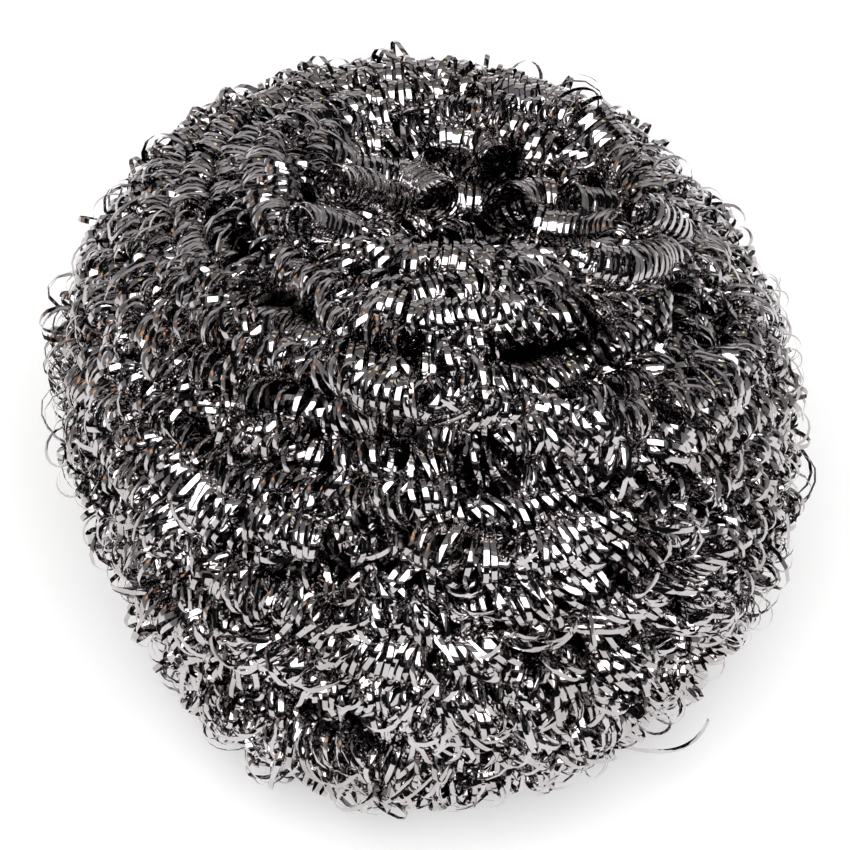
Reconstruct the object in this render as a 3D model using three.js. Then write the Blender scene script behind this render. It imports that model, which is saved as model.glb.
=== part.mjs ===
// Stainless steel scourer: a flat steel ribbon curled into a long springy coil, and the coil wound
// round and round into a wad. The wad is one piece. It rests on its flattened base, its rows run
// round an upright axis from the base to the sunken bowl on top, and creases part the rows into folds.
// Millimetres, +Z up, origin at the middle of the base.
import * as THREE from 'three';
import { ParametricGeometry } from 'three/addons/geometries/ParametricGeometry.js';

// Outline of the wad, from the base up
const BASE_RADIUS = 20;
const BELLY_RADIUS = 40;
const BELLY_HEIGHT = 28;
const RIM_RADIUS = 19.5;
const RIM_HEIGHT = 56.5;
const BOWL_DEPTH = 8;

// The crown leans to one side and towards the back, and its rim is higher at the front.
// The lean grows between two shares of the way from the base to the middle of the bowl.
const CROWN_SHIFT_X = 4;
const CROWN_SHIFT_Y = 8;
const CROWN_TILT_DEG = 12.5;
const CROWN_START_SHARE = 0.35;
const CROWN_FULL_SHARE = 0.8;

// The coil, and the spacing of its rows
const COIL_DIAMETER = 4.6;
const ROW_PITCH = 4.2;

// How far the rows stray to either side of their line, and how deep the surface undulates
const ROW_STRAY = 0.9;
const SWELL = 0.8;

// Bulges and hollows of the outline: where each lies round the wad, its height and its spread up and
// down as shares of the rim's height, its spread round the wad, and its share of the full bulge
const BULGE_OUT = 5;
const BULGES = [
  { azimuth: 158, height: 0.71, spreadDeg: 40, spread: 0.28, share: 0.5 },
  { azimuth: 122, height: 0.88, spreadDeg: 36, spread: 0.21, share: 0.5 },
  { azimuth: 28, height: 0.78, spreadDeg: 40, spread: 0.28, share: -1.1 },
  { azimuth: 205, height: 0.3, spreadDeg: 34, spread: 0.18, share: -1 },
  { azimuth: 335, height: 0.14, spreadDeg: 30, spread: 0.14, share: -0.2 },
  { azimuth: 230, height: 0.05, spreadDeg: 16, spread: 0.09, share: 0.5 },
];

// Creases between the folds, along the rows: share of the way from the base to the bowl's middle, the
// azimuth of the crease's middle, its reach to each side, its climb per degree, and its share of the
// full depth
const CREASE_DEPTH = 4;
const CREASE_HALF_WIDTH = 2.8;
const CREASES = [
  { along: 0.765, azimuth: 195, reachDeg: 62, climb: 0, share: 0.9 },
  { along: 0.74, azimuth: 302, reachDeg: 32, climb: -0.0006, share: 1 },
  { along: 0.705, azimuth: 195, reachDeg: 36, climb: -0.0006, share: 0.6 },
  { along: 0.665, azimuth: 278, reachDeg: 46, climb: -0.0013, share: 0.8 },
  { along: 0.645, azimuth: 232, reachDeg: 26, climb: 0, share: 0.7 },
  { along: 0.6, azimuth: 265, reachDeg: 15, climb: -0.0035, share: 0.6 },
  { along: 0.527, azimuth: 236, reachDeg: 20, climb: 0, share: 0.75 },
  { along: 0.44, azimuth: 245, reachDeg: 24, climb: 0, share: 0.65 },
  { along: 0.74, azimuth: 50, reachDeg: 50, climb: 0.0004, share: 0.75 },
  { along: 0.62, azimuth: 110, reachDeg: 45, climb: -0.0008, share: 0.8 },
  { along: 0.52, azimuth: 20, reachDeg: 40, climb: 0.0006, share: 0.75 },
  { along: 0.42, azimuth: 140, reachDeg: 40, climb: 0.0004, share: 0.7 },
  { along: 0.9, azimuth: 110, reachDeg: 45, climb: 0, share: 0.85 },
  { along: 0.885, azimuth: 345, reachDeg: 40, climb: -0.0008, share: 1 },
  { along: 0.85, azimuth: 215, reachDeg: 28, climb: 0, share: 0.75 },
];

// A lobe of the winding fills the front of the bowl: how far it stands up, half its width across the
// rows, the share of the way from the base to the bowl's middle, and where it lies round the wad
const LOBE_HEIGHT = 4;
const LOBE_HALF_WIDTH = 6;
const LOBE_SHARE = 0.92;
const LOBE_AZIMUTH = 262;
const LOBE_REACH_DEG = 58;

// Steps round the wad, and across one row
const SLICES = 48;
const STEPS_PER_ROW = 4;

// Half of the wad's upright section: base, lower belly, upper belly, then in over the rim to the bowl
const section = new THREE.Path();
section.moveTo(0, 0);
section.lineTo(BASE_RADIUS, 0);
section.absellipse(
  BASE_RADIUS, BELLY_HEIGHT, BELLY_RADIUS - BASE_RADIUS, BELLY_HEIGHT, -Math.PI / 2, 0,
);
section.absellipse(
  RIM_RADIUS, BELLY_HEIGHT, BELLY_RADIUS - RIM_RADIUS, RIM_HEIGHT - BELLY_HEIGHT, 0, Math.PI / 2,
);
section.bezierCurveTo(
  RIM_RADIUS / 2, RIM_HEIGHT, RIM_RADIUS / 2, RIM_HEIGHT - BOWL_DEPTH, 0, RIM_HEIGHT - BOWL_DEPTH,
);
const sectionLength = section.getLength();
const baseShare = BASE_RADIUS / sectionLength;
const rows = Math.round((sectionLength - BASE_RADIUS) / ROW_PITCH);

// The surface is a grid: the middle of the base, then steps across the rows up to the bowl
const stacks = 1 + (rows + 1) * STEPS_PER_ROW;

// Degrees from one azimuth to another, the short way round
function turnBetween(from, to) {
  return THREE.MathUtils.euclideanModulo(to - from + 180, 360) - 180;
}

// A smooth hump: 1 in its middle, falling away over the given spread
function hump(distance, spread) {
  return Math.exp(-((distance / spread) ** 2));
}

// Depth of the surface below the crest of its row: the rows are round coils lying side by side
function belowCrest(acrossRow) {
  const radius = COIL_DIAMETER / 2;
  const offset = (acrossRow - 0.5) * ROW_PITCH;
  return radius - Math.sqrt(Math.max(0, radius ** 2 - offset ** 2));
}

// Depth of all creases at a place on the wad
function creaseDepth(along, azimuth) {
  let depth = 0;
  for (const crease of CREASES) {
    const turn = turnBetween(crease.azimuth, azimuth);
    const off = (along - crease.along - crease.climb * turn) * sectionLength;
    depth += CREASE_DEPTH * crease.share * hump(turn, crease.reachDeg) * hump(off, CREASE_HALF_WIDTH);
  }
  return depth;
}

// How far the lobe in the bowl stands up at a place on the wad
function lobeRise(along, azimuth) {
  const turn = turnBetween(LOBE_AZIMUTH, azimuth);
  const off = (along - LOBE_SHARE) * sectionLength;
  return LOBE_HEIGHT * hump(turn, LOBE_REACH_DEG) * hump(off, LOBE_HALF_WIDTH);
}

// How far the bulges and hollows move the outline outwards at a place on the wad
function bulgeOut(height, azimuth) {
  let out = 0;
  for (const bulge of BULGES) {
    const turn = turnBetween(bulge.azimuth, azimuth);
    const rise = height / RIM_HEIGHT - bulge.height;
    out += BULGE_OUT * bulge.share * hump(turn, bulge.spreadDeg) * hump(rise, bulge.spread);
  }
  return out;
}

// Point of the surface. The rows climb one pitch in each turn, as the winding does, and their ridges
// fade out at the flat base and in the middle of the bowl.
function woundSurface(u, v, target) {
  const angle = 2 * Math.PI * u;
  const azimuth = 360 * u;
  const step = v * stacks;
  if (step < 0.5) {
    target.set(0, 0, 0);
    return;
  }
  const row = (step - 1) / STEPS_PER_ROW - 1;
  const turns = THREE.MathUtils.clamp(row + u, 0, rows);
  const fadeIn = THREE.MathUtils.smoothstep(turns, 0, 1.2);
  const fadeOut = THREE.MathUtils.smoothstep(rows - turns, 0, 1.2);
  const fade = fadeIn * fadeOut;
  const stray = fade * ROW_STRAY * Math.sin(3 * angle + 0.9 * turns);
  const along = baseShare + (1 - baseShare) * turns / rows + stray / sectionLength;

  const place = section.getPoint(along);
  const run = section.getTangent(along);
  const acrossRow = THREE.MathUtils.euclideanModulo(row, 1);
  const wave = Math.sin(2 * angle + 0.55 * turns) * Math.cos(0.8 * turns - angle);
  const swell = SWELL * (1 + wave) / 2;
  const relief = creaseDepth(along, azimuth) + swell - lobeRise(along, azimuth);
  const sink = fade * (belowCrest(acrossRow) + relief);
  const height = place.y + run.x * sink;
  const inset = place.x - run.y * sink;
  const radius = inset + bulgeOut(height, azimuth) * Math.min(1, inset / RIM_RADIUS);

  const crown = THREE.MathUtils.smoothstep(along, CROWN_START_SHARE, CROWN_FULL_SHARE);
  const x = radius * Math.cos(angle);
  const y = radius * Math.sin(angle);
  const drop = y * Math.tan(THREE.MathUtils.degToRad(CROWN_TILT_DEG));
  target.set(x + CROWN_SHIFT_X * crown, y + CROWN_SHIFT_Y * crown, height - drop * crown);
}

const steel = new THREE.MeshStandardMaterial({ color: 0x8f8b8c, roughness: 0.25, metalness: 1 });
const wad = new THREE.Mesh(new ParametricGeometry(woundSurface, SLICES, stacks), steel);
wad.name = 'coil_wad';

const scourer = new THREE.Group();
scourer.add(wad);

export default scourer;
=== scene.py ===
# Stainless steel scourer: one flat steel ribbon, curled into a springy coil and wound into a wad.
import math

import bpy
import numpy as np
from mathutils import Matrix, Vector


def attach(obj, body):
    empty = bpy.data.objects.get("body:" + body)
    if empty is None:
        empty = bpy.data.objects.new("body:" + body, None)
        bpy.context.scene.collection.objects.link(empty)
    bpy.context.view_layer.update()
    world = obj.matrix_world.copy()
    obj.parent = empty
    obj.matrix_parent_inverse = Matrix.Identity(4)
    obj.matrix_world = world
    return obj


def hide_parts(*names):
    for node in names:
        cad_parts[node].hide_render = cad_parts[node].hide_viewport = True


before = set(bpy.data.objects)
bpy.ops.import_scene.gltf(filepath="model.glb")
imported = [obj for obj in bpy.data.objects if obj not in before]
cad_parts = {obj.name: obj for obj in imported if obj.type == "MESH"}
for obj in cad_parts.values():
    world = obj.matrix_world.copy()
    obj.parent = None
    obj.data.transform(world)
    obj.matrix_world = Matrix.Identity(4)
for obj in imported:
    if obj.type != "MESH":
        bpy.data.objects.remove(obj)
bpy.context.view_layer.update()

# The wad
# One long coil of steel ribbon is wound round and round an upright axis, from the flattened base over the
# belly and the rim and down into a sunken bowl. It has the solid's own outline, in millimetres.
BASE_RADIUS = 20.0
BELLY_RADIUS = 40.0
BELLY_HEIGHT = 28.0
RIM_RADIUS = 19.5
RIM_HEIGHT = 56.5
BOWL_DEPTH = 8.0
CROWN_SHIFT = (4.0, 8.0)
CROWN_TILT = math.tan(math.radians(12.5))
CROWN_START_SHARE = 0.35
CROWN_FULL_SHARE = 0.8
ROW_PITCH = 4.2
ROW_STRAY = 0.9
ROW_FADE = 1.2
SWELL = 0.8
BULGE_OUT = 5.0
CREASE_DEPTH = 4.0
CREASE_HALF_WIDTH = 2.8

# Azimuth, height and spread as shares of the rim's height, spread in degrees, share of the full bulge
BULGES = (
    (158, 0.71, 0.28, 40, 0.5),
    (122, 0.88, 0.21, 36, 0.5),
    (28, 0.78, 0.28, 40, -1.1),
    (205, 0.30, 0.18, 34, -1.0),
    (335, 0.14, 0.14, 30, -0.2),
    (230, 0.05, 0.09, 16, 0.5),
)

# Share of the way from base to bowl, azimuth, reach in degrees, climb per degree, share of the depth
CREASES = (
    (0.765, 195, 62, 0.0, 0.9),
    (0.74, 302, 32, -0.0006, 1.0),
    (0.705, 195, 36, -0.0006, 0.6),
    (0.665, 278, 46, -0.0013, 0.8),
    (0.645, 232, 26, 0.0, 0.7),
    (0.6, 265, 15, -0.0035, 0.6),
    (0.527, 236, 20, 0.0, 0.75),
    (0.44, 245, 24, 0.0, 0.65),
    (0.74, 50, 50, 0.0004, 0.75),
    (0.62, 110, 45, -0.0008, 0.8),
    (0.52, 20, 40, 0.0006, 0.75),
    (0.42, 140, 40, 0.0004, 0.7),
    (0.9, 110, 45, 0.0, 0.85),
    (0.885, 345, 40, -0.0008, 1.0),
    (0.85, 215, 28, 0.0, 0.75),
)

# A lobe of the winding fills the front of the bowl
LOBE_HEIGHT = 4.0
LOBE_HALF_WIDTH = 6.0
LOBE_SHARE = 0.92
LOBE_AZIMUTH = 262
LOBE_REACH = 58

# Half of the wad's upright section: distance from the axis and height
SECTION_POINTS = 400
turn_of_arc = np.linspace(0, math.pi / 2, SECTION_POINTS)[:, None]
part_way = np.linspace(0, 1, SECTION_POINTS)[:, None]
base_line = part_way * [BASE_RADIUS, 0]
lower_belly = [BASE_RADIUS, BELLY_HEIGHT] + np.hstack([
    (BELLY_RADIUS - BASE_RADIUS) * np.sin(turn_of_arc),
    -BELLY_HEIGHT * np.cos(turn_of_arc),
])
upper_belly = [RIM_RADIUS, BELLY_HEIGHT] + np.hstack([
    (BELLY_RADIUS - RIM_RADIUS) * np.cos(turn_of_arc),
    (RIM_HEIGHT - BELLY_HEIGHT) * np.sin(turn_of_arc),
])
# The wall of the bowl leaves the rim level, and is level again in the middle
bowl_wall = np.hstack([
    RIM_RADIUS * ((1 - part_way) ** 3 + 1.5 * (1 - part_way) ** 2 * part_way
                  + 1.5 * (1 - part_way) * part_way ** 2),
    RIM_HEIGHT - BOWL_DEPTH * (3 * (1 - part_way) * part_way ** 2 + part_way ** 3),
])
section = np.vstack([base_line, lower_belly[1:], upper_belly[1:], bowl_wall[1:]])
section_run = np.concatenate([[0], np.cumsum(np.linalg.norm(np.diff(section, axis=0), axis=1))])
SECTION_LENGTH = section_run[-1]
ROWS = round((SECTION_LENGTH - BASE_RADIUS) / ROW_PITCH)
row_step = (SECTION_LENGTH - BASE_RADIUS) / ROWS
FIRST_TURN = -BASE_RADIUS / row_step


def ease(low, high, value):
    """A smooth step from 0 to 1 between two values."""
    share = np.clip((value - low) / (high - low), 0, 1)
    return share * share * (3 - 2 * share)


def on_section(run):
    """Distance from the axis and height, so far along the section."""
    return np.stack([np.interp(run, section_run, section[:, k]) for k in (0, 1)], axis=-1)


def ridge_share(turns):
    """The rows fade out at the flat base and in the middle of the bowl."""
    return ease(0, ROW_FADE, turns) * ease(0, ROW_FADE, ROWS - turns)


def row_run(turns, angle):
    """How far along the section a row lies after so many turns of the winding."""
    stray = ridge_share(turns) * ROW_STRAY * np.sin(3 * angle + 0.9 * turns)
    return np.clip(BASE_RADIUS + turns * row_step + stray, 0, SECTION_LENGTH)


# The section's direction is taken between two points this far to either side
NEARBY = 0.05


def wad_point(run, angle, sink):
    """Points at a place along the section and round the wad, sunk so far below the crest of the rows."""
    place = on_section(run)
    tangent = on_section(np.minimum(run + NEARBY, SECTION_LENGTH))
    tangent -= on_section(np.maximum(run - NEARBY, 0))
    tangent /= np.linalg.norm(tangent, axis=-1, keepdims=True)
    degrees = np.degrees(angle)
    turns = (run - BASE_RADIUS) / row_step
    depth = np.zeros_like(run)
    for along, azimuth, reach, climb, share in CREASES:
        off_azimuth = (degrees - azimuth + 180) % 360 - 180
        off_line = run - (along + climb * off_azimuth) * SECTION_LENGTH
        hump = np.exp(-(off_azimuth / reach) ** 2 - (off_line / CREASE_HALF_WIDTH) ** 2)
        depth += CREASE_DEPTH * share * hump
    wave = np.sin(2 * angle + 0.55 * turns) * np.cos(0.8 * turns - angle)
    off_azimuth = (degrees - LOBE_AZIMUTH + 180) % 360 - 180
    off_line = run - LOBE_SHARE * SECTION_LENGTH
    depth -= LOBE_HEIGHT * np.exp(-(off_azimuth / LOBE_REACH) ** 2 - (off_line / LOBE_HALF_WIDTH) ** 2)
    depth = ridge_share(turns) * (depth + SWELL * (1 + wave) / 2) + sink
    inset = place[:, 0] - tangent[:, 1] * depth
    height = place[:, 1] + tangent[:, 0] * depth
    out = np.zeros_like(run)
    for azimuth, level, spread, spread_degrees, share in BULGES:
        off_azimuth = (degrees - azimuth + 180) % 360 - 180
        off_level = height / RIM_HEIGHT - level
        out += BULGE_OUT * share * np.exp(-(off_azimuth / spread_degrees) ** 2 - (off_level / spread) ** 2)
    radius = inset + out * np.clip(inset / RIM_RADIUS, 0, 1)
    crown = ease(CROWN_START_SHARE, CROWN_FULL_SHARE, run / SECTION_LENGTH)
    x = radius * np.cos(angle)
    y = radius * np.sin(angle)
    return np.stack([
        x + CROWN_SHIFT[0] * crown,
        y + CROWN_SHIFT[1] * crown,
        height - CROWN_TILT * y * crown,
    ], axis=-1)


# Stainless steel ribbon
# The ribbon is stainless steel wire rolled flat, half a millimetre wide and slightly domed outside.
# Rolling leaves it mirror-like, with faint lines along its length and slightly duller stretches.
RIBBON_WIDTH = 0.54
RIBBON_THICKNESS = 0.03
# The real rolling lines are some hundredths of a millimetre apart. They are drawn coarser, so that they
# show.
LINE_SPACING = 0.25
LINE_LENGTH = 25 / 3
# Curling leaves the ribbon faintly wavy
WAVE_LENGTH = 0.5
WAVE_DEPTH = 0.02
# The tint drifts over some millimetres of the wad
PATCH_SIZE = 6.0


def linear(hex_colour):
    """Linear colour from an sRGB hex value."""
    channels = [int(hex_colour[k:k + 2], 16) / 255 for k in (1, 3, 5)]
    return [c / 12.92 if c <= 0.04045 else ((c + 0.055) / 1.055) ** 2.4 for c in channels] + [1.0]


def add_node(tree, kind, settings=None, **links):
    """A new node with its settings, and with links into its inputs."""
    node = tree.nodes.new(kind)
    for name, value in (settings or {}).items():
        if name in node.inputs:
            node.inputs[name].default_value = value
        else:
            setattr(node, name, value)
    for name, source in links.items():
        tree.links.new(source, node.inputs[name])
    return node


def rolled_steel(name, dull, bright, smooth, rough):
    """Rolled stainless steel between two tints and two roughnesses."""
    material = bpy.data.materials.new(name)
    material.use_nodes = True
    tree = material.node_tree
    shader = tree.nodes["Principled BSDF"]
    shader.inputs["Metallic"].default_value = 1.0
    # Rolling lines run along the ribbon
    ribbon_run = add_node(tree, "ShaderNodeUVMap", {"uv_map": "ribbon_mm"})
    stretched = add_node(
        tree, "ShaderNodeMapping", {"Scale": (1 / LINE_LENGTH, 1 / LINE_SPACING, 1.0)},
        Vector=ribbon_run.outputs["UV"],
    )
    lines = add_node(
        tree, "ShaderNodeTexNoise", {"Scale": 1.0, "Detail": 2.0}, Vector=stretched.outputs["Vector"]
    )
    roughness = add_node(
        tree, "ShaderNodeMapRange",
        {"From Min": 0.3, "From Max": 0.7, "To Min": smooth, "To Max": rough},
        Value=lines.outputs["Fac"],
    )
    tree.links.new(roughness.outputs["Result"], shader.inputs["Roughness"])
    waves = add_node(
        tree, "ShaderNodeTexNoise", {"Scale": 1 / WAVE_LENGTH, "Detail": 0.0},
        Vector=ribbon_run.outputs["UV"],
    )
    wavy = add_node(tree, "ShaderNodeBump", {"Distance": WAVE_DEPTH / 1000}, Height=waves.outputs["Fac"])
    tree.links.new(wavy.outputs["Normal"], shader.inputs["Normal"])
    place_in_wad = add_node(tree, "ShaderNodeTexCoord")
    patches = add_node(
        tree, "ShaderNodeTexNoise", {"Scale": 1000 / PATCH_SIZE, "Detail": 3.0},
        Vector=place_in_wad.outputs["Object"],
    )
    tint = add_node(tree, "ShaderNodeValToRGB", Fac=patches.outputs["Fac"])
    tint.color_ramp.elements[0].position = 0.35
    tint.color_ramp.elements[0].color = linear(dull)
    tint.color_ramp.elements[1].position = 0.65
    tint.color_ramp.elements[1].color = linear(bright)
    tree.links.new(tint.outputs["Color"], shader.inputs["Base Color"])
    return material


# The eye sees a mirror: white where it faces the light, near black where it faces the dark
steel = rolled_steel("bright_rolled_stainless_steel", "#aea8a8", "#cbc7c9", 0.02, 0.07)


def strip_map(start, stop, spans):
    """Flat map of the ribbon's faces, from start to stop along it and over one span each across it."""
    sides = []
    for low, high in spans:
        low = np.broadcast_to(low, start.shape)
        high = np.broadcast_to(high, start.shape)
        corners = ((start, low), (stop, low), (stop, high), (start, high))
        sides.append(np.stack([np.stack(corner, axis=-1) for corner in corners], axis=1))
    return np.stack(sides, axis=1).reshape(-1, 2)


# The flat map has a cell for each turn of ribbon: cells side by side, a cell's margin at both ends, and the
# strips of the ribbon's three faces in it
BAKE_COLUMNS = 9
CELL_MARGIN = 0.02
CELL_FILL = 1 - 2 * CELL_MARGIN
CELL_STRIPS = ((0.04, 0.25), (0.25, 0.46), (0.54, 0.96))
# No ribbon goes below this height over the floor
FLOOR_GAP = 0.02


def add_ribbon(name, stretches, steps_per_turn, material):
    """One mesh of flat ribbon. A stretch holds the ribbon's middle line and its width direction, in mm."""
    points, quads, caps, run_maps, bake_maps = [], [], [], [], []
    turn_count = sum(math.ceil((len(line) - 1) / steps_per_turn) for line, across in stretches)
    bands = math.ceil(turn_count / BAKE_COLUMNS)
    first, first_turn = 0, 0
    half = RIBBON_WIDTH / 2
    for line, across in stretches:
        along = np.gradient(line, axis=0)
        along /= np.linalg.norm(along, axis=1, keepdims=True)
        across = across - along * np.sum(across * along, axis=1, keepdims=True)
        across /= np.linalg.norm(across, axis=1, keepdims=True)
        edge = half * across
        dome = RIBBON_THICKNESS * np.cross(along, across)
        points.append(np.stack([line - edge, line + dome, line + edge], axis=1).reshape(-1, 3))
        count = len(line)
        here = first + 3 * np.arange(count - 1)[:, None]
        corners = ([0, 3, 4, 1], [1, 4, 5, 2], [2, 5, 3, 0])
        quads.append(np.stack([here + corner for corner in corners], axis=1).reshape(-1, 4))
        last = first + 3 * (count - 1)
        caps.append([[first, first + 1, first + 2], [last + 2, last + 1, last]])
        # Where each face lies along and across the ribbon, in millimetres
        travelled = np.concatenate([[0], np.cumsum(np.linalg.norm(np.diff(line, axis=0), axis=1))])
        spans = [(-half, 0), (0, half), (half, 3 * half)]
        run_maps.append(strip_map(travelled[:-1], travelled[1:], spans))
        # Each turn of ribbon has a cell of its own on the flat map, with its faces side by side
        step = np.arange(count - 1)
        turn = first_turn + step // steps_per_turn
        part_turn = (step % steps_per_turn) / steps_per_turn
        begin = (turn % BAKE_COLUMNS + CELL_MARGIN + CELL_FILL * part_turn) / BAKE_COLUMNS
        finish = begin + CELL_FILL / steps_per_turn / BAKE_COLUMNS
        cell = turn // BAKE_COLUMNS
        strips = [((cell + low) / bands, (cell + high) / bands) for low, high in CELL_STRIPS]
        bake_maps.append(strip_map(begin, finish, strips))
        first += 3 * count
        first_turn += math.ceil((count - 1) / steps_per_turn)
    points = np.concatenate(points)
    points[:, 2] = np.maximum(points[:, 2], FLOOR_GAP)
    points = points / 1000
    quads, caps = np.concatenate(quads), np.concatenate(caps)
    corners = np.concatenate([quads.ravel(), caps.ravel()]).astype(np.int32)
    face_starts = np.concatenate([4 * np.arange(len(quads)), quads.size + 3 * np.arange(len(caps))])
    mesh = bpy.data.meshes.new(name)
    mesh.vertices.add(len(points))
    mesh.vertices.foreach_set("co", points.ravel())
    mesh.loops.add(len(corners))
    mesh.loops.foreach_set("vertex_index", corners)
    mesh.polygons.add(len(face_starts))
    mesh.polygons.foreach_set("loop_start", face_starts.astype(np.int32))
    mesh.update(calc_edges=True)
    for map_name, maps in (("OFBake", bake_maps), ("ribbon_mm", run_maps)):
        layer = mesh.uv_layers.new(name=map_name)
        flat = np.zeros((len(corners), 2))
        filled = np.concatenate(maps)
        flat[:len(filled)] = filled
        layer.uv.foreach_set("vector", flat.ravel())
    mesh.polygons.foreach_set("use_smooth", np.ones(len(face_starts), dtype=bool))
    # The ribbon's long edges stay crisp
    pairs = np.empty(2 * len(mesh.edges), dtype=np.int32)
    mesh.edges.foreach_get("vertices", pairs)
    pairs = pairs.reshape(-1, 2) % 3
    mesh.edges.foreach_set("use_edge_sharp", (pairs[:, 0] == pairs[:, 1]) & (pairs[:, 0] != 1))
    mesh.materials.append(material)
    piece = bpy.data.objects.new(name, mesh)
    bpy.context.scene.collection.objects.link(piece)
    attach(piece, "root")
    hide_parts("coil_wad")


# Curled ends
# In the bowl the coil has sprung open, and short lengths of it stand up as open curls. They are the same
# steel ribbon. Their other ends go down into the wad, and the rows around leave them room.
chance = np.random.default_rng(71)


def wander(run, length, amount, rare=0.0):
    """A smooth random value along the coil that changes over about the given length, rarely a large one."""
    knots = np.arange(run[0] - 2 * length, run[-1] + 3 * length, length)
    values = chance.normal(0, amount, len(knots))
    values += rare * chance.normal(0, 1, len(knots)) ** 5 / 10
    share = (run - knots[0]) / length
    low = np.floor(share).astype(int)
    part = share - low
    part = part * part * (3 - 2 * part)
    return values[low] * (1 - part) + values[low + 1] * part


CURL_STEPS = 24
CURL_PITCH = 0.75
CURL_ROOM = 0.2
CURL_LIFT = 1.8
CURL_POINTS = 200
FRONT_RISE = math.radians(50)
FRONT_UP = np.array([0.0, -math.cos(FRONT_RISE), math.sin(FRONT_RISE)])
MORE_UPRIGHT = np.array([0.0, 0.3, 0.0])
# Rows keep out of these balls: some in front of each mouth, and some along the first half of each curl
MOUTH_BALLS = 4
BALL_POINTS = (10, 35, 60, 90)
BALL_REACH = 2
clearings = []
curled_ends = []
# Azimuth and share of the section, radius, the way the open end points and its angle above level, how far
# it stands out of the rows, and the azimuth, share and depth at which its other end goes into the wad
for azimuth, along, radius, pointing, height, stand_out, root in (
    (192, 0.844, 2.1, -118, 36, 1.0, (200, 0.895, 1.6)),
    (166, 0.878, 2.3, -122, 38, 1.4, (138, 0.938, 1.4)),
    (99, 0.907, 2.3, 12, 67, 1.4, (146, 0.862, 2.0)),
    (69, 0.9, 1.9, -90, 50, 2.2, (84, 0.872, 3.0)),
    (40, 0.935, 2.6, -100, 32, 1.8, (28, 0.89, 2.4)),
    (111, 0.948, 2.4, -75, 24, 1.6, (126, 0.915, 3.0)),
    (53, 0.801, 3.1, -70, 55, 1.0, (34, 0.79, 2.4)),
    (11, 0.886, 2.3, -160, 30, 1.4, (5, 0.838, 2.2)),
    (350, 0.82, 2.2, -178, 25, 1.0, (350, 0.785, 2.0)),
    (5, 0.925, 2.2, 172, 10, 1.4, (345, 0.835, 1.4)),
    (316, 0.84, 2.2, 170, 8, 0.8, (336, 0.79, 1.6)),
    (170, 0.985, 1.9, -100, 20, 0.6, (20, 0.97, 2.6)),
):
    turn, rise = math.radians(pointing), math.radians(height)
    axis = np.array([math.cos(rise) * math.cos(turn), math.cos(rise) * math.sin(turn), math.sin(rise)])
    crest = wad_point(np.array([along * SECTION_LENGTH]), np.array([math.radians(azimuth)]), 0.0)[0]
    mouth = crest + (stand_out + CURL_LIFT) * FRONT_UP
    root_run, root_around = np.array([root[1] * SECTION_LENGTH]), np.array([math.radians(root[0])])
    deep = wad_point(root_run, root_around, root[2])[0]
    knee = mouth - axis * np.linalg.norm(deep - mouth) / 2
    share = np.linspace(0, 1, CURL_POINTS)[:, None]
    middle = (1 - share) ** 2 * mouth + 2 * share * (1 - share) * knee + share ** 2 * deep
    clearings += [(mouth + reach * FRONT_UP, radius + CURL_ROOM) for reach in range(MOUTH_BALLS)]
    for place in middle[list(BALL_POINTS)]:
        clearings += [(place + reach * FRONT_UP, radius) for reach in (0, radius, radius + BALL_REACH)]
    run = np.concatenate([[0], np.cumsum(np.linalg.norm(np.diff(middle, axis=0), axis=1))])
    steps = np.arange(0, run[-1] / CURL_PITCH, 1 / CURL_STEPS)
    middle = np.stack([np.interp(steps * CURL_PITCH, run, middle[:, k]) for k in range(3)], axis=-1)
    back = np.gradient(middle, axis=0)
    back /= np.linalg.norm(back, axis=1, keepdims=True)
    level = np.cross(back, FRONT_UP + MORE_UPRIGHT)
    level /= np.linalg.norm(level, axis=1, keepdims=True)
    steep = np.cross(level, back)
    angle = 2 * math.pi * steps[:, None]
    swing = np.cos(angle) * level + np.sin(angle) * steep
    reach = radius * (1 + wander(steps, 1.3, 0.05))[:, None]
    drift = np.stack([wander(steps, 1.5, 0.12) for k in range(3)], axis=-1)
    curled_ends.append((middle + drift + reach * swing, wander(steps, 0.8, 0.12)[:, None] * swing - back))
add_ribbon("ribbon_curled_ends", curled_ends, CURL_STEPS, steel)

# Outer rows of the coil
# The steel ribbon is curled into a springy coil nearly five millimetres across. The rows of the coil lie
# side by side all over the wad, tidy high up, and wider, looser and leaning over low down.
CREASE_POINTS = 12
CREASE_SINKS = (-1.5, 0.0)

# Dark creases between the folds, where the rows part: azimuth and share of the section at both ends, and
# half the width
for start, stop, half_width in (
    ((132, 0.853), (105, 0.865), 1.6),
    ((52, 0.967), (41, 0.913), 1.8),
    ((41, 0.913), (27, 0.872), 2.0),
    ((27, 0.872), (2, 0.842), 1.8),
    ((2, 0.842), (-14, 0.81), 1.5),
    ((279, 0.775), (302, 0.761), 1.8),
    ((210, 0.663), (234, 0.691), 1.4),
    ((234, 0.691), (261, 0.694), 1.5),
    ((268, 0.69), (281, 0.666), 1.4),
    ((281, 0.666), (288, 0.665), 1.3),
    ((245, 0.601), (253, 0.602), 0.7),
    ((255, 0.612), (274, 0.572), 0.7),
    ((294, 0.626), (313, 0.608), 1.2),
    ((325, 0.72), (342, 0.701), 1.0),
    ((222, 0.498), (240, 0.52), 1.6),
    ((231, 0.403), (249, 0.431), 1.7),
    ((249, 0.431), (264, 0.429), 1.7),
    ((172, 0.766), (206, 0.789), 1.0),
    ((206, 0.789), (229, 0.778), 1.0),
    ((257, 0.738), (284, 0.712), 0.8),
):
    around, along = np.linspace(start, stop, CREASE_POINTS).T
    for sink in CREASE_SINKS:
        crease = wad_point(along * SECTION_LENGTH, np.radians(around), sink)
        clearings += [(place, half_width) for place in crease]

# A turn goes when more than this share of it stands in the way
CROWDED = 0.12


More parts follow.
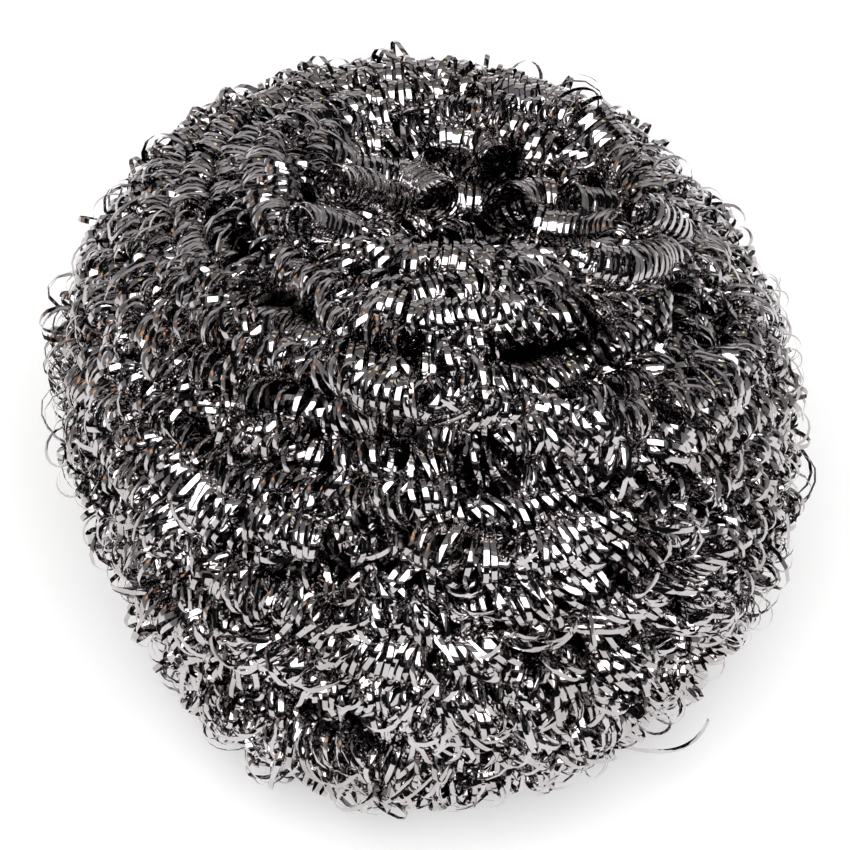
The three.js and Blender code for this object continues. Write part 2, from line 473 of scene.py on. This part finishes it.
def make_way(line, across, steps_per_turn):
    """The row without the turns that stand in a curl's mouth or a gap, as the stretches that are left."""
    blocked = np.zeros(len(line))
    for middle, radius in clearings:
        blocked[np.linalg.norm(line - middle, axis=1) < radius] = 1
    turn = np.arange(len(line)) // steps_per_turn
    kept = (np.bincount(turn, blocked) < CROWDED * steps_per_turn)[turn]
    cuts = np.flatnonzero(np.diff(kept)) + 1
    pieces = zip(np.split(line, cuts), np.split(across, cuts), np.split(kept, cuts))
    return [(part, part_across) for part, part_across, stays in pieces if stays[0] and len(part) > 2]


AXIS_POINTS_PER_TURN = 720
BUNCH_LIMITS = (0.8, 1.6)
RAISE_LIMITS = (-1.5, 2.0)
LEAN_LIMIT = 1.2
SWOLLEN_LIMITS = (0.6, 1.5)
TURNED_TO_FRONT = 0.8
PRESSED_FLAT = 0.04


def coil_rows(first_turn, last_turn, row_offset, depth, radius, pitch, unruly, steps_per_turn):
    """The ribbon's middle line and width direction along rows of coil, at a depth in the wad."""
    turns = np.linspace(first_turn, last_turn, int((last_turn - first_turn) * AXIS_POINTS_PER_TURN))
    around = 2 * math.pi * turns
    row = row_run(turns + row_offset, around)
    outer = wad_point(row, around, depth + radius - 0.5)
    inner = wad_point(row, around, depth + radius + 0.5)
    axis = (outer + inner) / 2
    run = np.concatenate([[0], np.cumsum(np.linalg.norm(np.diff(axis, axis=0), axis=1))])
    # Turns of the coil, bunched in places
    bunch = np.clip(np.exp(wander(run, 8.0, 0.25 * unruly)), *BUNCH_LIMITS)
    curl = np.concatenate([[0], np.cumsum(np.diff(run) / (pitch * (bunch[1:] + bunch[:-1]) / 2))])
    steps = np.arange(0, curl[-1], 1 / steps_per_turn)
    at_run = np.interp(steps, curl, run)
    axis = np.stack([np.interp(at_run, run, axis[:, k]) for k in range(3)], axis=-1)
    out = np.stack([np.interp(at_run, run, (outer - inner)[:, k]) for k in range(3)], axis=-1)
    forward = np.gradient(axis, axis=0)
    forward /= np.linalg.norm(forward, axis=1, keepdims=True)
    out -= forward * np.sum(out * forward, axis=1, keepdims=True)
    out /= np.linalg.norm(out, axis=1, keepdims=True)
    side = np.cross(forward, out)
    raised = wander(at_run, 5.0, 0.4 * unruly) + wander(steps, 1.3, 0.2 * unruly, 0.25 * unruly)
    axis += out * np.clip(raised, *RAISE_LIMITS)[:, None]
    stray = wander(at_run, 22.0, 0.5 + 0.6 * unruly) + wander(at_run, 6.0, 0.5 * unruly)
    axis += side * (stray + wander(steps, 1.3, 0.3 * unruly))[:, None]
    # Each turn is a loop that leans over along the coil and to the side, some of them a long way
    lean = wander(at_run, 7.0, 0.3 * unruly) + wander(steps, 1.5, 0.3 * unruly, 0.5 * unruly)
    slant = wander(at_run, 9.0, 0.35 * unruly) + wander(steps, 1.5, 0.3 * unruly, 0.5 * unruly)
    # Round the belly, but not at the very sides, the turns face the front
    to_side = np.cos(np.interp(at_run, run, around))
    to_front = TURNED_TO_FRONT * to_side * (1 - to_side ** 4) * (1 - abs(out[:, 2]))
    lean = np.clip(lean, -LEAN_LIMIT, LEAN_LIMIT)[:, None]
    slant = np.clip(slant + to_front, -LEAN_LIMIT, LEAN_LIMIT)[:, None]
    loop_out = np.cos(lean) * out + np.sin(lean) * forward
    loop_side = np.cos(slant) * side + np.sin(slant) * forward
    # Few turns are truly round: they swell and shrink, the ribbon has kinks, and most turns are oval and
    # flatter on their upper side, where the next row presses on them
    swollen = 1 + wander(at_run, 5.0, 0.08 * unruly) + wander(steps, 1.2, 0.07 * unruly, 0.2 * unruly)
    oval = wander(steps, 2.2, 0.12 * unruly)[:, None]
    oval_slanted = PRESSED_FLAT + wander(steps, 2.2, 0.12 * unruly)[:, None]
    angle = 2 * math.pi * steps[:, None]
    reach = radius * np.clip(swollen, *SWOLLEN_LIMITS)[:, None]
    reach = reach * (1 + oval * np.cos(2 * angle) + oval_slanted * np.sin(2 * angle))
    reach += wander(steps, 0.13, 0.12)[:, None]
    swing = np.cos(angle) * loop_out + np.sin(angle) * loop_side
    twist = wander(steps, 0.6, 0.2 * unruly)[:, None]
    line = axis + reach * swing
    return make_way(line, np.cross(loop_out, loop_side) + twist * swing, steps_per_turn)


OUTER_STEPS = 16
# First and last turn of the winding, radius of the coil, distance between its turns, and how unruly it is
for band_name, band_start, band_end, radius, pitch, unruly in (
    ("ribbon_base_rows", FIRST_TURN + 0.6, 3.0, 2.4, 1.12, 1.1),
    ("ribbon_lower_belly_rows", 3.0, 7.0, 2.45, 0.9, 1.1),
    ("ribbon_belly_rows", 7.0, 11.0, 2.4, 0.85, 1.0),
    ("ribbon_shoulder_rows", 11.0, 15.0, 2.35, 0.79, 0.7),
    ("ribbon_crown_rows", 15.0, ROWS - 1.2, 2.25, 0.72, 0.45),
):
    rows = coil_rows(band_start, band_end, 0.5, 0.0, radius, pitch, unruly, OUTER_STEPS)
    add_ribbon(band_name, rows, OUTER_STEPS, steel)

# Inner rows of the coil
# More of the same steel coil lies below, between the outer rows, and closes the wad to the eye. It is wound
# in the same way, and the outer rows hold it down.
INNER_RADIUS = 2.3
# The deepest rows and those under the bowl get little light. The eye sees dark grey loops without sparkle.
# That darker, duller steel is painted shade, a shaded copy of the bright steel.
painted_shade_steel = rolled_steel("stainless_steel_painted_shade", "#433f3f", "#524f4f", 0.18, 0.28)
# First and last turn of the winding, depth below the crests, distance between the coil's turns, how unruly
# it is, steps in a turn, and the steel
for band_name, band_start, band_end, depth, pitch, unruly, steps_per_turn, material in (
    ("ribbon_second_rows_low", FIRST_TURN + 1.5, 9.5, 1.3, 1.2, 1.1, 14, steel),
    ("ribbon_second_rows_high", 9.5, 19.2, 1.3, 1.2, 0.7, 13, steel),
    ("ribbon_second_rows_bowl", 19.2, ROWS - 1.6, 1.6, 1.3, 0.5, 13, painted_shade_steel),
    ("ribbon_third_rows", FIRST_TURN + 2.5, ROWS - 2.4, 4.0, 1.6, 0.9, 9, painted_shade_steel),
):
    rows = coil_rows(band_start, band_end, 0.0, depth, INNER_RADIUS, pitch, unruly, steps_per_turn)
    add_ribbon(band_name, rows, steps_per_turn, material)

# Innermost turns
# In the middle of the wad the turns of the same steel coil are packed so tight that hardly any light comes
# back. They are drawn as one closed body, which only shows as darkness behind the rows.
INNERMOST_DEPTH = 8.6
INNERMOST_RINGS = 40
INNERMOST_SLICES = 48
innermost_run, innermost_around = np.meshgrid(
    np.linspace(0, SECTION_LENGTH, INNERMOST_RINGS + 1),
    2 * math.pi * np.arange(INNERMOST_SLICES) / INNERMOST_SLICES,
    indexing="ij",
)
innermost_points = wad_point(innermost_run.ravel(), innermost_around.ravel(), INNERMOST_DEPTH) / 1000
# The first and the last ring are single points
innermost_points = np.vstack([
    innermost_points[:1],
    innermost_points[INNERMOST_SLICES:-INNERMOST_SLICES],
    innermost_points[-1:],
])
top_point = len(innermost_points) - 1
innermost_faces = []
for k in range(INNERMOST_SLICES):
    beside = (k + 1) % INNERMOST_SLICES
    innermost_faces.append((0, 1 + beside, 1 + k))
    for ring in range(INNERMOST_RINGS - 2):
        low = 1 + ring * INNERMOST_SLICES
        high = low + INNERMOST_SLICES
        innermost_faces.append((low + k, low + beside, high + beside, high + k))
    last_ring = top_point - INNERMOST_SLICES
    innermost_faces.append((last_ring + k, last_ring + beside, top_point))
innermost_mesh = bpy.data.meshes.new("innermost_painted_shade_body")
innermost_mesh.from_pydata(innermost_points.tolist(), [], innermost_faces)
innermost_mesh.polygons.foreach_set("use_smooth", np.ones(len(innermost_faces), dtype=bool))
# Painted shade: near-black steel, so the eye sees darkness with no form of its own
painted_shade_core_steel = rolled_steel("painted_shade_core_stainless_steel", "#090808", "#100e0e", 0.5, 0.6)
innermost_mesh.materials.append(painted_shade_core_steel)
innermost = bpy.data.objects.new("innermost_painted_shade_body", innermost_mesh)
bpy.context.scene.collection.objects.link(innermost)
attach(innermost, "root")
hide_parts("coil_wad")

# Loose loops
# Here and there the coil has sprung open, and a turn or two of it stand out of the wad as wider loops.
# They are the same steel ribbon, and their ends go back into the wad.
LOOSE_LOOPS = 470
SIDE_RINGS = 170
BOWL_LOOPS = 230
LOOSE_STEPS = 16
LOOSE_DIVE = 2.5
LEANING_BELOW = 0.62


def loose_loop(along, azimuth, radius, stand_out, lean, slant, turns, advance):
    """A turn or two of ribbon that stands out of the wad at a share of the section and an azimuth."""
    run = np.array([along * SECTION_LENGTH])
    around = np.array([math.radians(azimuth)])
    middle = wad_point(run, around, radius - stand_out)[0]
    out = wad_point(run, around, -1.0)[0] - wad_point(run, around, 0.0)[0]
    out /= np.linalg.norm(out)
    forward = np.array([-math.sin(around[0]), math.cos(around[0]), 0.0])
    forward -= out * (forward @ out)
    forward /= np.linalg.norm(forward)
    side = np.cross(forward, out)
    loop_out = math.cos(lean) * out + math.sin(lean) * forward
    loop_side = math.cos(slant) * side + math.sin(slant) * forward
    steps = np.arange(-turns / 2, turns / 2, 1 / LOOSE_STEPS)[:, None]
    angle = 2 * math.pi * steps
    swing = np.cos(angle) * loop_out + np.sin(angle) * loop_side
    dive = LOOSE_DIVE * (2 * steps / turns) ** 4
    line = middle + radius * swing + forward * advance * steps - out * dive
    return line, np.cross(loop_out, loop_side) + chance.normal(0, 0.15) * swing


loose_loops = []
for k in range(LOOSE_LOOPS):
    along = chance.uniform(0.3, 0.8)
    # Low down they lie over on their side
    if along < LEANING_BELOW:
        slant = chance.choice((-1, 1)) * chance.uniform(0.6, 1.4)
    else:
        slant = chance.uniform(-0.7, 0.7)
    loose_loops.append(loose_loop(
        along=along,
        azimuth=chance.uniform(0, 360),
        radius=chance.uniform(1.6, 2.9),
        stand_out=min(abs(chance.normal(0, 0.8)), 2.2),
        lean=chance.uniform(-0.6, 0.6),
        slant=slant,
        turns=chance.uniform(1.2, 2.2),
        advance=chance.uniform(0.5, 1.6),
    ))
# Along the left and the right the loops stand out as open rings
for k in range(SIDE_RINGS):
    azimuth = chance.choice((190, 350)) + chance.uniform(-30, 30)
    loose_loops.append(loose_loop(
        along=chance.uniform(0.25, 0.75),
        azimuth=azimuth,
        radius=chance.uniform(1.1, 2.3),
        stand_out=chance.uniform(0.2, 2.0),
        lean=chance.uniform(-0.25, 0.25),
        slant=chance.uniform(-0.3, 0.3) - 0.8 * math.cos(math.radians(azimuth)),
        turns=chance.uniform(1.2, 2.2),
        advance=chance.uniform(0.5, 1.4),
    ))
# In the bowl short pieces of coil stand above the rows, those on its sides tipped over to the front
for k in range(BOWL_LOOPS):
    azimuth = chance.uniform(0, 360)
    loose_loops.append(loose_loop(
        along=chance.uniform(0.82, 0.98),
        azimuth=azimuth,
        radius=chance.uniform(1.8, 2.3),
        stand_out=chance.uniform(0.2, 1.8),
        lean=chance.normal(0, 0.25) - 0.55 * math.cos(math.radians(azimuth)),
        slant=chance.uniform(-0.3, 0.3),
        turns=chance.uniform(1.6, 3.2),
        advance=chance.uniform(0.7, 1.0),
    ))
loose_loops = [part for loop in loose_loops for part in make_way(*loop, LOOSE_STEPS)]
add_ribbon("ribbon_loose_loops", loose_loops, LOOSE_STEPS, steel)

# Loose tail
# One cut end of the steel ribbon sticks out of the wad low on the right and bends round. Its other end is
# held between the rows.
TAIL_STEPS = 24
TAIL_LEAN_START = 10
TAIL_LEAN_GROWTH = 35
tail_start = np.array([20.0, -24.5, 6.6])
tail_bend = np.array([27.5, -28.5, 7.8])
tail_end = np.array([29.8, -22.6, 8.3])
share = np.linspace(0, 1, TAIL_STEPS + 1)[:, None]
tail = (1 - share) ** 2 * tail_start + 2 * share * (1 - share) * tail_bend + share ** 2 * tail_end
# The ribbon stands on edge where it comes out, and leans back towards its end
tail_lean = np.radians(TAIL_LEAN_START + TAIL_LEAN_GROWTH * share)
tail_across = np.hstack([np.zeros_like(share), np.sin(tail_lean), np.cos(tail_lean)])
add_ribbon("ribbon_tail", [(tail, tail_across)], TAIL_STEPS, steel)

# Paper sweep
# A sheet of white matt paper that the scourer lies on. It runs out flat, then curves up behind and to the
# sides. A painted glow makes it full white near the scourer. It keeps its shadow, and fades further away.
SWEEP_RADIUS = 2.5
SWEEP_BEND = 0.8
SWEEP_HEIGHT = 1.6
SWEEP_STEPS = 48
BEND_STEPS = 12
# The sheet lies flat in front, and is fully raised from a little in front of the sides to the back
FLAT_FRONT = -0.75
RAISED_SIDES = -0.2
# Share of painted white glow that the paper adds for the eye and reflections, and where it starts and ends
# to fade
GLOW = 0.42
GLOW_NEAR = 0.2
GLOW_FAR = 1.6
sweep_profile = [(0.0, 0.0), (0.4, 0.0), (1.0, 0.0)]
for k in range(BEND_STEPS + 1):
    bend = math.radians(90 * k / BEND_STEPS)
    sweep_profile.append((
        SWEEP_RADIUS - SWEEP_BEND + SWEEP_BEND * math.sin(bend),
        SWEEP_BEND * (1 - math.cos(bend)),
    ))
sweep_profile.append((SWEEP_RADIUS, SWEEP_HEIGHT))
sweep_points = []
sweep_faces = []
for k in range(SWEEP_STEPS + 1):
    turn = 2 * math.pi * k / SWEEP_STEPS
    rise = float(ease(FLAT_FRONT, RAISED_SIDES, math.sin(turn)))
    for radius, height in sweep_profile:
        sweep_points.append((radius * math.cos(turn), radius * math.sin(turn), height * rise))
for k in range(SWEEP_STEPS):
    for step in range(len(sweep_profile) - 1):
        here = k * len(sweep_profile) + step
        there = here + len(sweep_profile)
        sweep_faces.append((here, here + 1, there + 1, there))
sweep_mesh = bpy.data.meshes.new("paper_sweep")
sweep_mesh.from_pydata(sweep_points, [], sweep_faces)
sweep_mesh.polygons.foreach_set("use_smooth", [True] * len(sweep_faces))
sweep = bpy.data.objects.new("paper_sweep", sweep_mesh)
bpy.context.scene.collection.objects.link(sweep)
# Matt paper scatters light evenly and a painted glow adds white: plain white, with a soft shadow under the
# scourer.
paper = bpy.data.materials.new("white_matt_paper_painted_glow")
paper.use_nodes = True
tree = paper.node_tree
tree.nodes.clear()
ray = add_node(tree, "ShaderNodeLightPath")
seen = add_node(tree, "ShaderNodeMath", {"operation": "MAXIMUM"})
tree.links.new(ray.outputs["Is Camera Ray"], seen.inputs[0])
tree.links.new(ray.outputs["Is Glossy Ray"], seen.inputs[1])
seen_through = add_node(tree, "ShaderNodeMath", {"operation": "MAXIMUM"})
tree.links.new(seen.outputs["Value"], seen_through.inputs[0])
tree.links.new(ray.outputs["Is Transmission Ray"], seen_through.inputs[1])
sheet_place = add_node(tree, "ShaderNodeTexCoord")
from_middle = add_node(tree, "ShaderNodeVectorMath", {"operation": "LENGTH"})
tree.links.new(sheet_place.outputs["Object"], from_middle.inputs[0])
near = add_node(
    tree, "ShaderNodeMapRange",
    {
        "interpolation_type": "SMOOTHSTEP",
        "From Min": GLOW_NEAR, "From Max": GLOW_FAR, "To Min": GLOW, "To Max": 0.0,
    },
    Value=from_middle.outputs["Value"],
)
share = add_node(tree, "ShaderNodeMath", {"operation": "MULTIPLY"})
tree.links.new(seen_through.outputs["Value"], share.inputs[0])
tree.links.new(near.outputs["Result"], share.inputs[1])
matt = add_node(tree, "ShaderNodeBsdfDiffuse", {"Color": linear("#e0e0e0")})
white = add_node(
    tree, "ShaderNodeEmission", {"Color": linear("#ffffff")}, Strength=share.outputs["Value"]
)
sheet = add_node(tree, "ShaderNodeAddShader")
tree.links.new(matt.outputs["BSDF"], sheet.inputs[0])
tree.links.new(white.outputs["Emission"], sheet.inputs[1])
add_node(tree, "ShaderNodeOutputMaterial", Surface=sheet.outputs["Shader"])
sweep_mesh.materials.append(paper)

# Camera
# It looks down at the wad from the front, from nearly half a metre away. The wad fills most of the square
# picture.
VIEW_HEIGHT = math.radians(50)
VIEW_DISTANCE = 0.48
VIEW_WIDTH = 0.089
SENSOR_WIDTH = 36
aim = Vector((0.0, 0.0002, 0.0292))
back = Vector((0, -math.cos(VIEW_HEIGHT), math.sin(VIEW_HEIGHT)))
camera_data = bpy.data.cameras.new("camera")
camera_data.sensor_width = SENSOR_WIDTH
camera_data.lens = SENSOR_WIDTH * VIEW_DISTANCE / VIEW_WIDTH
camera_data.clip_start = 0.01
camera = bpy.data.objects.new("camera", camera_data)
bpy.context.scene.collection.objects.link(camera)
camera.location = aim + back * VIEW_DISTANCE
camera.rotation_euler = (-back).to_track_quat("-Z", "Y").to_euler()
bpy.context.scene.camera = camera

# Light
# One soft box above the camera and the lit ceiling round it, a dim panel overhead and a wide one low behind,
# and two small warm lamps. The room is dim.
LAMP_AIM = Vector((0, 0, 0.03))
ROOM_LIGHT = 0.01


def add_lamp(name, azimuth, height, distance, wide, tall, radiance, colour):
    """A flat lamp: degrees to the left of the front and above level, metres away, and size in degrees."""
    data = bpy.data.lights.new(name, "AREA")
    data.shape = "RECTANGLE"
    data.size = 2 * distance * math.tan(math.radians(wide / 2))
    data.size_y = 2 * distance * math.tan(math.radians(tall / 2))
    data.energy = radiance * math.pi * data.size * data.size_y
    data.color = linear(colour)[:3]
    lamp = bpy.data.objects.new(name, data)
    bpy.context.scene.collection.objects.link(lamp)
    turn, rise = math.radians(azimuth), math.radians(height)
    direction = Vector((-math.sin(turn) * math.cos(rise), -math.cos(turn) * math.cos(rise), math.sin(rise)))
    lamp.location = LAMP_AIM + direction * distance
    lamp.rotation_euler = (-direction).to_track_quat("-Z", "Y").to_euler()


add_lamp("soft_box", 0, 64, 1.6, 49, 49, 4.3, "#ffffff")
add_lamp("lit_ceiling", 2, 64, 1.7, 72, 72, 0.2, "#fffdfb")
add_lamp("panel_overhead", 180, 66, 1.6, 44, 44, 0.22, "#fffafc")
add_lamp("panel_behind", 180, 25, 1.6, 90, 26, 0.34, "#fffafc")
add_lamp("warm_lamp_behind", 190, 54, 1.5, 8, 8, 1.3, "#ffeb9c")
add_lamp("warm_lamp_left", 100, 22, 1.5, 12, 12, 1.0, "#ffa42d")
world = bpy.data.worlds.new("dim_room")
bpy.context.scene.world = world
world.use_nodes = True
world.node_tree.nodes["Background"].inputs["Color"].default_value = linear("#ffffff")
world.node_tree.nodes["Background"].inputs["Strength"].default_value = ROOM_LIGHT
bpy.context.scene.view_settings.view_transform = "Standard"
